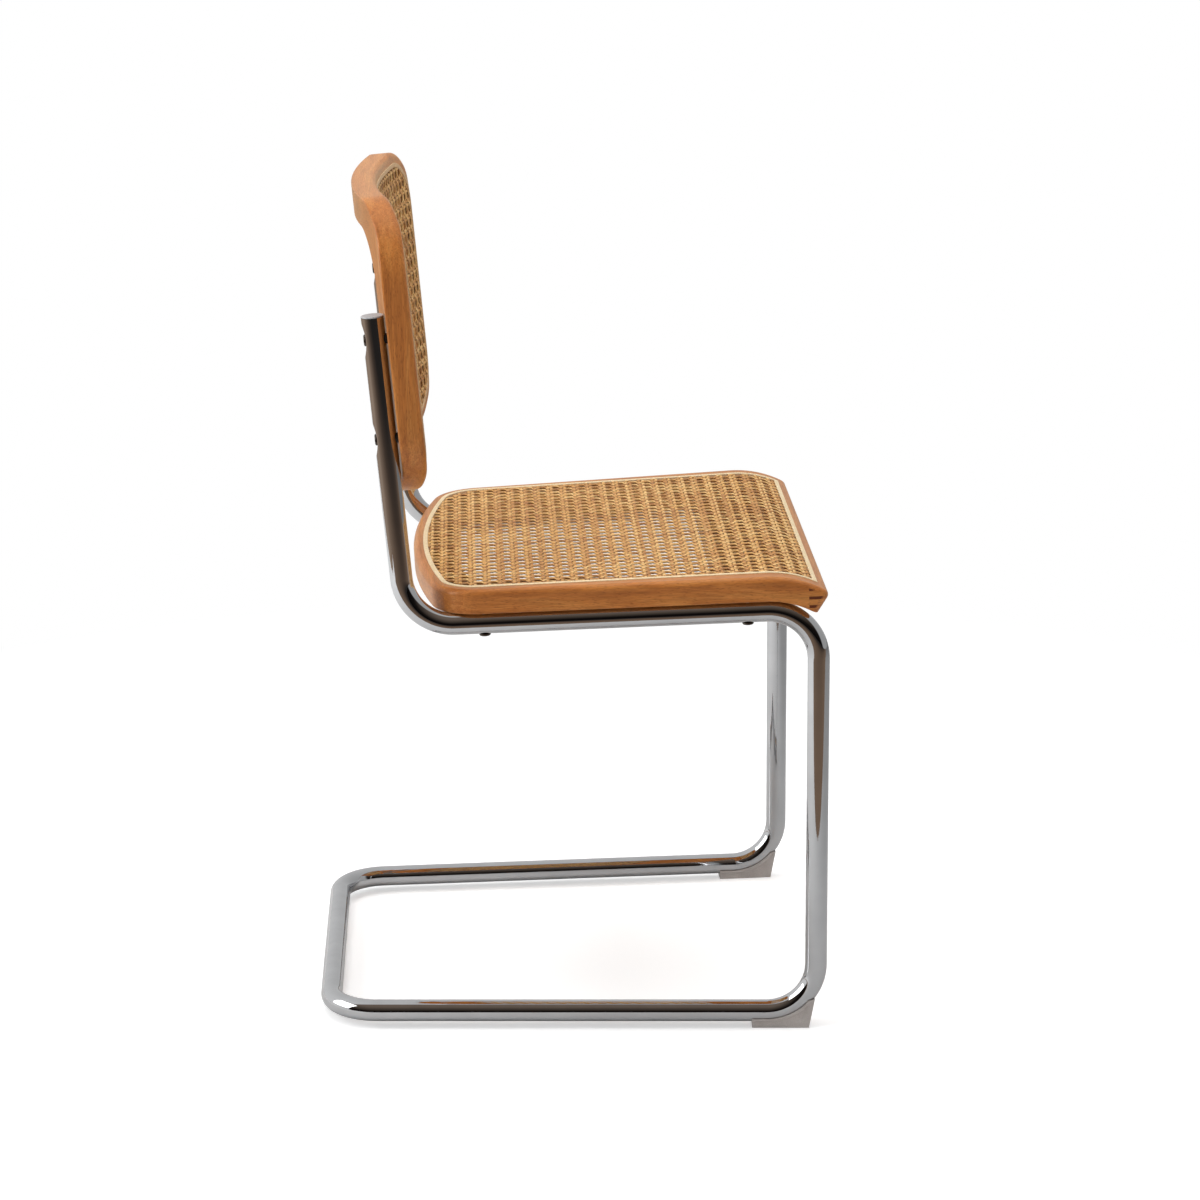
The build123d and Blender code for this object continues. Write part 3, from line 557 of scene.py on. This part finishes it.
def weavePanel(panel, prefix, node):
    across, depth = weave["acrossPitch"], weave["depthPitch"]
    gap, lift, cross = weave["pairGap"], weave["lift"], weave["crossLift"]
    columns, rows = panel["columns"], panel["rows"]
    diagonalPitch = math.hypot(across, depth)

    def strands(name, lay):
        bm = bmesh.new()
        layers = (bm.verts.layers.float.new("strandToneAndShade"), bm.verts.layers.float_vector.new("strandPlace"))
        lay(bm, layers)
        bmesh.ops.solidify(bm, geom=bm.faces[:], thickness=-weave["thickness"])
        for vert in bm.verts:
            vert.co = panel["place"](vert.co)
        bmesh.ops.recalc_face_normals(bm, faces=bm.faces)
        sharpen(bm, weave["sharpAngle"])
        print(name, 2 * len(bm.faces), "triangles")
        newPiece(name, bm, wovenCane, [node])

    def lengthwise(bm, layers):
        for i in range(-columns, columns + 1):
            for hand in (-1, 1):
                layStrand(bm, panel, Vector((i * across + hand * gap, 0)), Vector((0, 1)), weave["width"],
                          weave["cellSteps"], depth, lambda t: hand * lift * overUnder(t, depth),
                          shuffle.random(), layers)

    def crosswise(bm, layers):
        for j in range(-rows, rows + 1):
            for hand in (-1, 1):
                layStrand(bm, panel, Vector((0, j * depth + hand * gap)), Vector((1, 0)), weave["width"],
                          weave["cellSteps"], across, lambda t: -hand * lift * overUnder(t, across),
                          shuffle.random(), layers)

    def slanted(bm, layers):
        for hand in (-1, 1):
            direction = Vector((across, hand * depth)).normalized()
            for k in range(-columns - rows, columns + rows + 1):
                layStrand(bm, panel, Vector(((k + 0.5) * across, 0)), direction, weave["diagonalWidth"],
                          weave["diagonalSteps"], diagonalPitch,
                          lambda t: -hand * cross * math.cos(2 * math.pi * t / diagonalPitch),
                          shuffle.random(), layers)

    strands(prefix + "Lengthwise", lengthwise)
    strands(prefix + "Crosswise", crosswise)
    strands(prefix + "Slanted", slanted)


# seat cane: flat, then over the roll at the front
seat = {
    "riseOnTube": 0.0113, "rearGap": 0.0067, "overhang": 0.011, "rearArc": 0.8, "rearCorner": 0.05,
    "rollRadius": 0.088, "rollAngle": math.radians(33.7), "rollOffset": -0.001, "caneHeight": 0.0236,
    "reedInset": 0.0146, "frontInset": 0.0246, "frontSetback": 0.0176,
}
seatNormal = Vector((0, math.sin(slope), math.cos(slope)))
seatDepthDir = Vector((0, math.cos(slope), -math.sin(slope)))
seatOrigin = Vector((0, 0, layout["seatHeight"] + math.tan(slope) * legTop)) + seatNormal * seat["riseOnTube"]
legLean = math.atan(layout["legRake"] / (layout["seatHeight"] - layout["baseHeight"]))
bendTurn = math.radians(90) + slope - legLean
rollStart = legTop + tube["bendRadius"] * math.tan(bendTurn / 2) * math.cos(slope) + seat["rollOffset"]
seatRear = uprightFoot.y - seat["rearGap"]
rollReach = seat["rollRadius"] + layout["frameThickness"]


def seatPlan(w):
    # depth in plan of a place along the seat's surface
    return rollStart + w if w >= 0 else rollStart + rollReach * math.sin(w / rollReach)


frontTurn = seat["rollAngle"] - seat["frontSetback"] / rollReach
frontPlan = rollStart - rollReach * math.sin(frontTurn)
frontHalf = sideX(frontPlan) + seat["overhang"] - seat["frontInset"]
rearHalf = sideX(seatRear) + seat["overhang"] - seat["reedInset"]


def insideSeat(x, w):
    y = seatPlan(w)
    if w < -frontTurn * rollReach or abs(x) > frontHalf:
        return False
    rear = seatRear - seat["reedInset"]
    share = (y - frontPlan) / (rear - frontPlan)
    half = frontHalf + (rearHalf - frontHalf) * share
    arc = seat["rearArc"] - seat["reedInset"]
    edge = rear - arc + math.sqrt(arc ** 2 - x ** 2)
    corner = seat["rearCorner"] - seat["reedInset"]
    dx, dy = abs(x) - (half - corner), y - (edge - corner)
    if dx > 0 and dy > 0:
        return math.hypot(dx, dy) < corner
    return abs(x) < half and y < edge


def placeOnSeat(point):
    x, w, lift = point
    height = seat["caneHeight"] + lift
    y, z = rollStart + w, height
    if w < 0:
        turn = -w / rollReach
        reach = seat["rollRadius"] + height
        y = rollStart - reach * math.sin(turn)
        z = reach * math.cos(turn) - seat["rollRadius"]
    return seatOrigin + Vector((x, 0, 0)) + seatDepthDir * y + seatNormal * z


seatPanel = {"inside": insideSeat, "place": placeOnSeat, "reach": 0.6, "columns": 18, "rows": 26}
weavePanel(seatPanel, "seatCane", "seat_cane")

# back cane: bowed between the stiles
back = {
    "width": 0.43, "bottom": 0.1235, "top": 0.416, "bow": 0.0265, "bowStart": 0.0065, "blendRadius": 0.06,
    "washer": 0.0018, "topCorner": 0.076, "bottomCorner": 0.078, "reedInset": 0.0158, "caneHeight": 0.0236,
}
bowReach = sideX(uprightFoot.y) + back["bowStart"]
bowTurn = 2 * math.atan(back["bow"] / bowReach)
bowRadius = bowReach / math.sin(bowTurn) - back["blendRadius"]
backMiddle = (back["bottom"] + back["top"]) / 2
backForward = Vector((0, -math.cos(lean), math.sin(lean)))


def insideBack(x, v):
    inset = back["reedInset"]
    half = back["width"] / 2 - inset
    high, low = back["top"] - inset - backMiddle, back["bottom"] + inset - backMiddle
    corner = (back["topCorner"] if v > 0 else back["bottomCorner"]) - inset
    dx = abs(x) - (half - corner)
    dy = v - (high - corner) if v > 0 else (low + corner) - v
    if dx > 0 and dy > 0:
        return math.hypot(dx, dy) < corner
    return abs(x) < half and low < v < high


def bowDepth(x, height):
    inward = bowReach - abs(x)
    if inward <= 0:
        return height
    blend = back["blendRadius"] + height
    if inward <= blend * math.sin(bowTurn):
        return math.sqrt(blend ** 2 - inward ** 2) - back["blendRadius"]
    return bowRadius - back["bow"] - math.sqrt((bowRadius - height) ** 2 - x ** 2)


def placeOnBack(point):
    x, v, lift = point
    depth = tube["radius"] + back["washer"] + bowDepth(x, back["caneHeight"] + lift)
    return uprightFoot + Vector((x, 0, 0)) + uprightDir * (v + backMiddle) + backForward * depth


backPanel = {"inside": insideBack, "place": placeOnBack, "reach": 0.4, "columns": 18, "rows": 10}
weavePanel(backPanel, "backCane", "back_cane")

# pale floor and soft light; reflections see a darker room on the camera's side
studio = {
    "floorSize": 12.0, "floorColor": 0.84, "floorGlow": 0.42, "fadeFrom": 0.75, "fadeTo": 1.4,
    "mirrorFront": 0.4, "mirrorRear": 0.78, "mirrorFrom": -1.0, "mirrorTo": 0.9, "worldSoft": 0.42,
    "darkFrom": -0.8, "darkTo": -6.0, "darkSide": 6.0, "darkLeft": 1.45, "darkLift": 0.001, "brownTo": -4.0,
    "roomAxis": (-0.92, 0.0, 0.39), "roomEdge": (0.4, 0.52), "rearTone": 0.82, "frontTone": 0.42,
}
overhead = {"place": (0.3, 0.0, 2.8), "aim": (0.3, 0.0, 0.0), "size": 2.6, "power": 56.0,
            "inReflections": False}
rearFill = {"place": (-0.5, 2.8, 1.6), "aim": (0.0, 0.0, 0.5), "size": 2.2, "power": 50.0,
            "inReflections": True}


def stageSheet(name, points, material):
    bm = bmesh.new()
    bm.faces.new([bm.verts.new(p) for p in points])
    mesh = bpy.data.meshes.new(name)
    bm.to_mesh(mesh)
    bm.free()
    mesh.materials.append(material)
    sheet = bpy.data.objects.new(name, mesh)
    bpy.context.scene.collection.objects.link(sheet)
    return sheet


def floorMaterial():
    # the camera sees the floor fade into a white backdrop away from the chair
    material = bpy.data.materials.new("paleFloor")
    material.use_nodes = True
    tree = material.node_tree
    tree.nodes.clear()
    place = objectPlace(tree)
    away = addNode(tree, "ShaderNodeVectorMath", {0: place}, operation="LENGTH")
    fade = span(tree, away.outputs["Value"], 0.0, 1.0, studio["fadeFrom"], studio["fadeTo"])
    matte = addNode(tree, "ShaderNodeBsdfDiffuse", {"Color": grey(studio["floorColor"])})
    parts = addNode(tree, "ShaderNodeSeparateXYZ", {0: place})
    # painted reflection: as seen in reflections, the floor darkens towards the camera's side, standing in for
    # how light falls across the room
    tone = span(tree, parts.outputs["Y"], studio["mirrorFront"], studio["mirrorRear"],
                studio["mirrorFrom"], studio["mirrorTo"])
    mirrored = addNode(tree, "ShaderNodeBsdfDiffuse", {"Color": tone})
    glow = addNode(tree, "ShaderNodeEmission", {"Color": grey(1.0), "Strength": studio["floorGlow"]})
    white = addNode(tree, "ShaderNodeEmission", {"Color": grey(1.0), "Strength": 1.0})
    lit = addNode(tree, "ShaderNodeAddShader", {0: matte.outputs[0], 1: glow.outputs[0]})
    faded = addNode(tree, "ShaderNodeMixShader", {0: fade, 1: lit.outputs[0], 2: white.outputs[0]})
    path = addNode(tree, "ShaderNodeLightPath")
    unseen = addNode(tree, "ShaderNodeMixShader", {0: path.outputs["Is Glossy Ray"], 1: matte.outputs[0],
                                                   2: mirrored.outputs[0]})
    seen = addNode(tree, "ShaderNodeMixShader", {0: path.outputs["Is Camera Ray"], 1: unseen.outputs[0],
                                                 2: faded.outputs[0]})
    output = addNode(tree, "ShaderNodeOutputMaterial")
    tree.links.new(seen.outputs[0], output.inputs["Surface"])
    return material


half = studio["floorSize"] / 2
stageSheet("floor", [(-half, -half, 0), (half, -half, 0), (half, half, 0), (-half, half, 0)], floorMaterial())


def darkFloorMaterial():
    # painted reflection: glowing brown sheets beyond the pale sheet, seen only in reflections as a room
    # floor, darker towards the camera
    values = {"Roughness": 1.0, "Base Color": grey(0.0), "Emission Strength": 1.0}
    material, tree, shader = newMaterial("darkFloor", **values)
    parts = addNode(tree, "ShaderNodeSeparateXYZ", {0: objectPlace(tree)})
    away = span(tree, parts.outputs["X"], 0.0, 1.0, 0.0, studio["brownTo"])
    color = ramp(tree, away, [
        (0.0, linear(158, 136, 117)), (0.2, linear(126, 103, 84)), (0.6, linear(68, 53, 42)),
        (0.9, linear(22, 17, 14))])
    tree.links.new(color, shader.inputs["Emission Color"])
    return material


darkFloor = darkFloorMaterial()
near, far, side, leftEdge = (studio[k] for k in ("darkFrom", "darkTo", "darkSide", "darkLeft"))
for name, (x0, x1, y0, y1) in {"darkFloorNear": (far, near, -side, side),
                               "darkFloorLeft": (near, side, leftEdge, side)}.items():
    outline = [(x, y, studio["darkLift"]) for x, y in ((x0, y0), (x1, y0), (x1, y1), (x0, y1))]
    sheet = stageSheet(name, outline, darkFloor)
    sheet.visible_camera = False
    sheet.visible_diffuse = False
    sheet.visible_shadow = False
    sheet.visible_transmission = False


def studioWorld():
    world = bpy.data.worlds.new("studio")
    world.use_nodes = True
    tree = world.node_tree
    place = addNode(tree, "ShaderNodeTexCoord")
    path = addNode(tree, "ShaderNodeLightPath")
    toward = addNode(tree, "ShaderNodeVectorMath", {0: place.outputs["Generated"], 1: studio["roomAxis"]},
                     operation="DOT_PRODUCT")
    mask = span(tree, toward.outputs["Value"], 0.0, 1.0, *studio["roomEdge"])
    parts = addNode(tree, "ShaderNodeSeparateXYZ", {0: place.outputs["Generated"]})
    pale = span(tree, parts.outputs["Y"], studio["frontTone"], studio["rearTone"], start=-1.0)
    dark = ramp(tree, parts.outputs["Z"], [
        (0.0, linear(14, 12, 12)), (0.25, linear(26, 22, 20)), (0.6, linear(84, 74, 66)),
        (0.9, linear(118, 104, 94))])
    room = blendColors(tree, "MIX", mask, pale, dark)
    mirrored = blendColors(tree, "MIX", path.outputs["Is Glossy Ray"], grey(studio["worldSoft"]), room)
    color = blendColors(tree, "MIX", path.outputs["Is Camera Ray"], mirrored, grey(1.0))
    background = tree.nodes["Background"]
    background.inputs["Strength"].default_value = 1.0
    tree.links.new(color, background.inputs["Color"])
    return world


bpy.context.scene.world = studioWorld()


def softbox(name, box):
    light = bpy.data.lights.new(name, "AREA")
    light.shape = "SQUARE"
    light.size = box["size"]
    light.energy = box["power"]
    lamp = bpy.data.objects.new(name, light)
    lamp.location = box["place"]
    toward = Vector(box["aim"]) - lamp.location
    lamp.rotation_euler = toward.to_track_quat("-Z", "Y").to_euler()
    lamp.visible_glossy = box["inReflections"]
    bpy.context.scene.collection.objects.link(lamp)


softbox("overhead", overhead)
softbox("rearFill", rearFill)
print("studio ready")

# camera at the photograph's angle
view = {"place": (-3.43282, 0.10381, 1.35191), "lens": 102.67,
        "yaw": -2.3665, "pitch": 15.6464, "roll": 0.2515}
yaw, pitch, roll = (math.radians(view[k]) for k in ("yaw", "pitch", "roll"))
ahead = Vector((math.cos(yaw) * math.cos(pitch), math.sin(yaw) * math.cos(pitch), -math.sin(pitch)))
level = Vector((math.sin(yaw), -math.cos(yaw), 0))
down = ahead.cross(level)
rightward = level * math.cos(roll) + down * math.sin(roll)
downward = down * math.cos(roll) - level * math.sin(roll)
camera = bpy.data.objects.new("camera", bpy.data.cameras.new("camera"))
camera.data.lens = view["lens"]
camera.matrix_world = Matrix.Translation(view["place"]) @ Matrix(
    (rightward, -downward, -ahead)).transposed().to_4x4()
bpy.context.scene.collection.objects.link(camera)
bpy.context.scene.camera = camera
bpy.context.scene.view_settings.view_transform = "Standard"
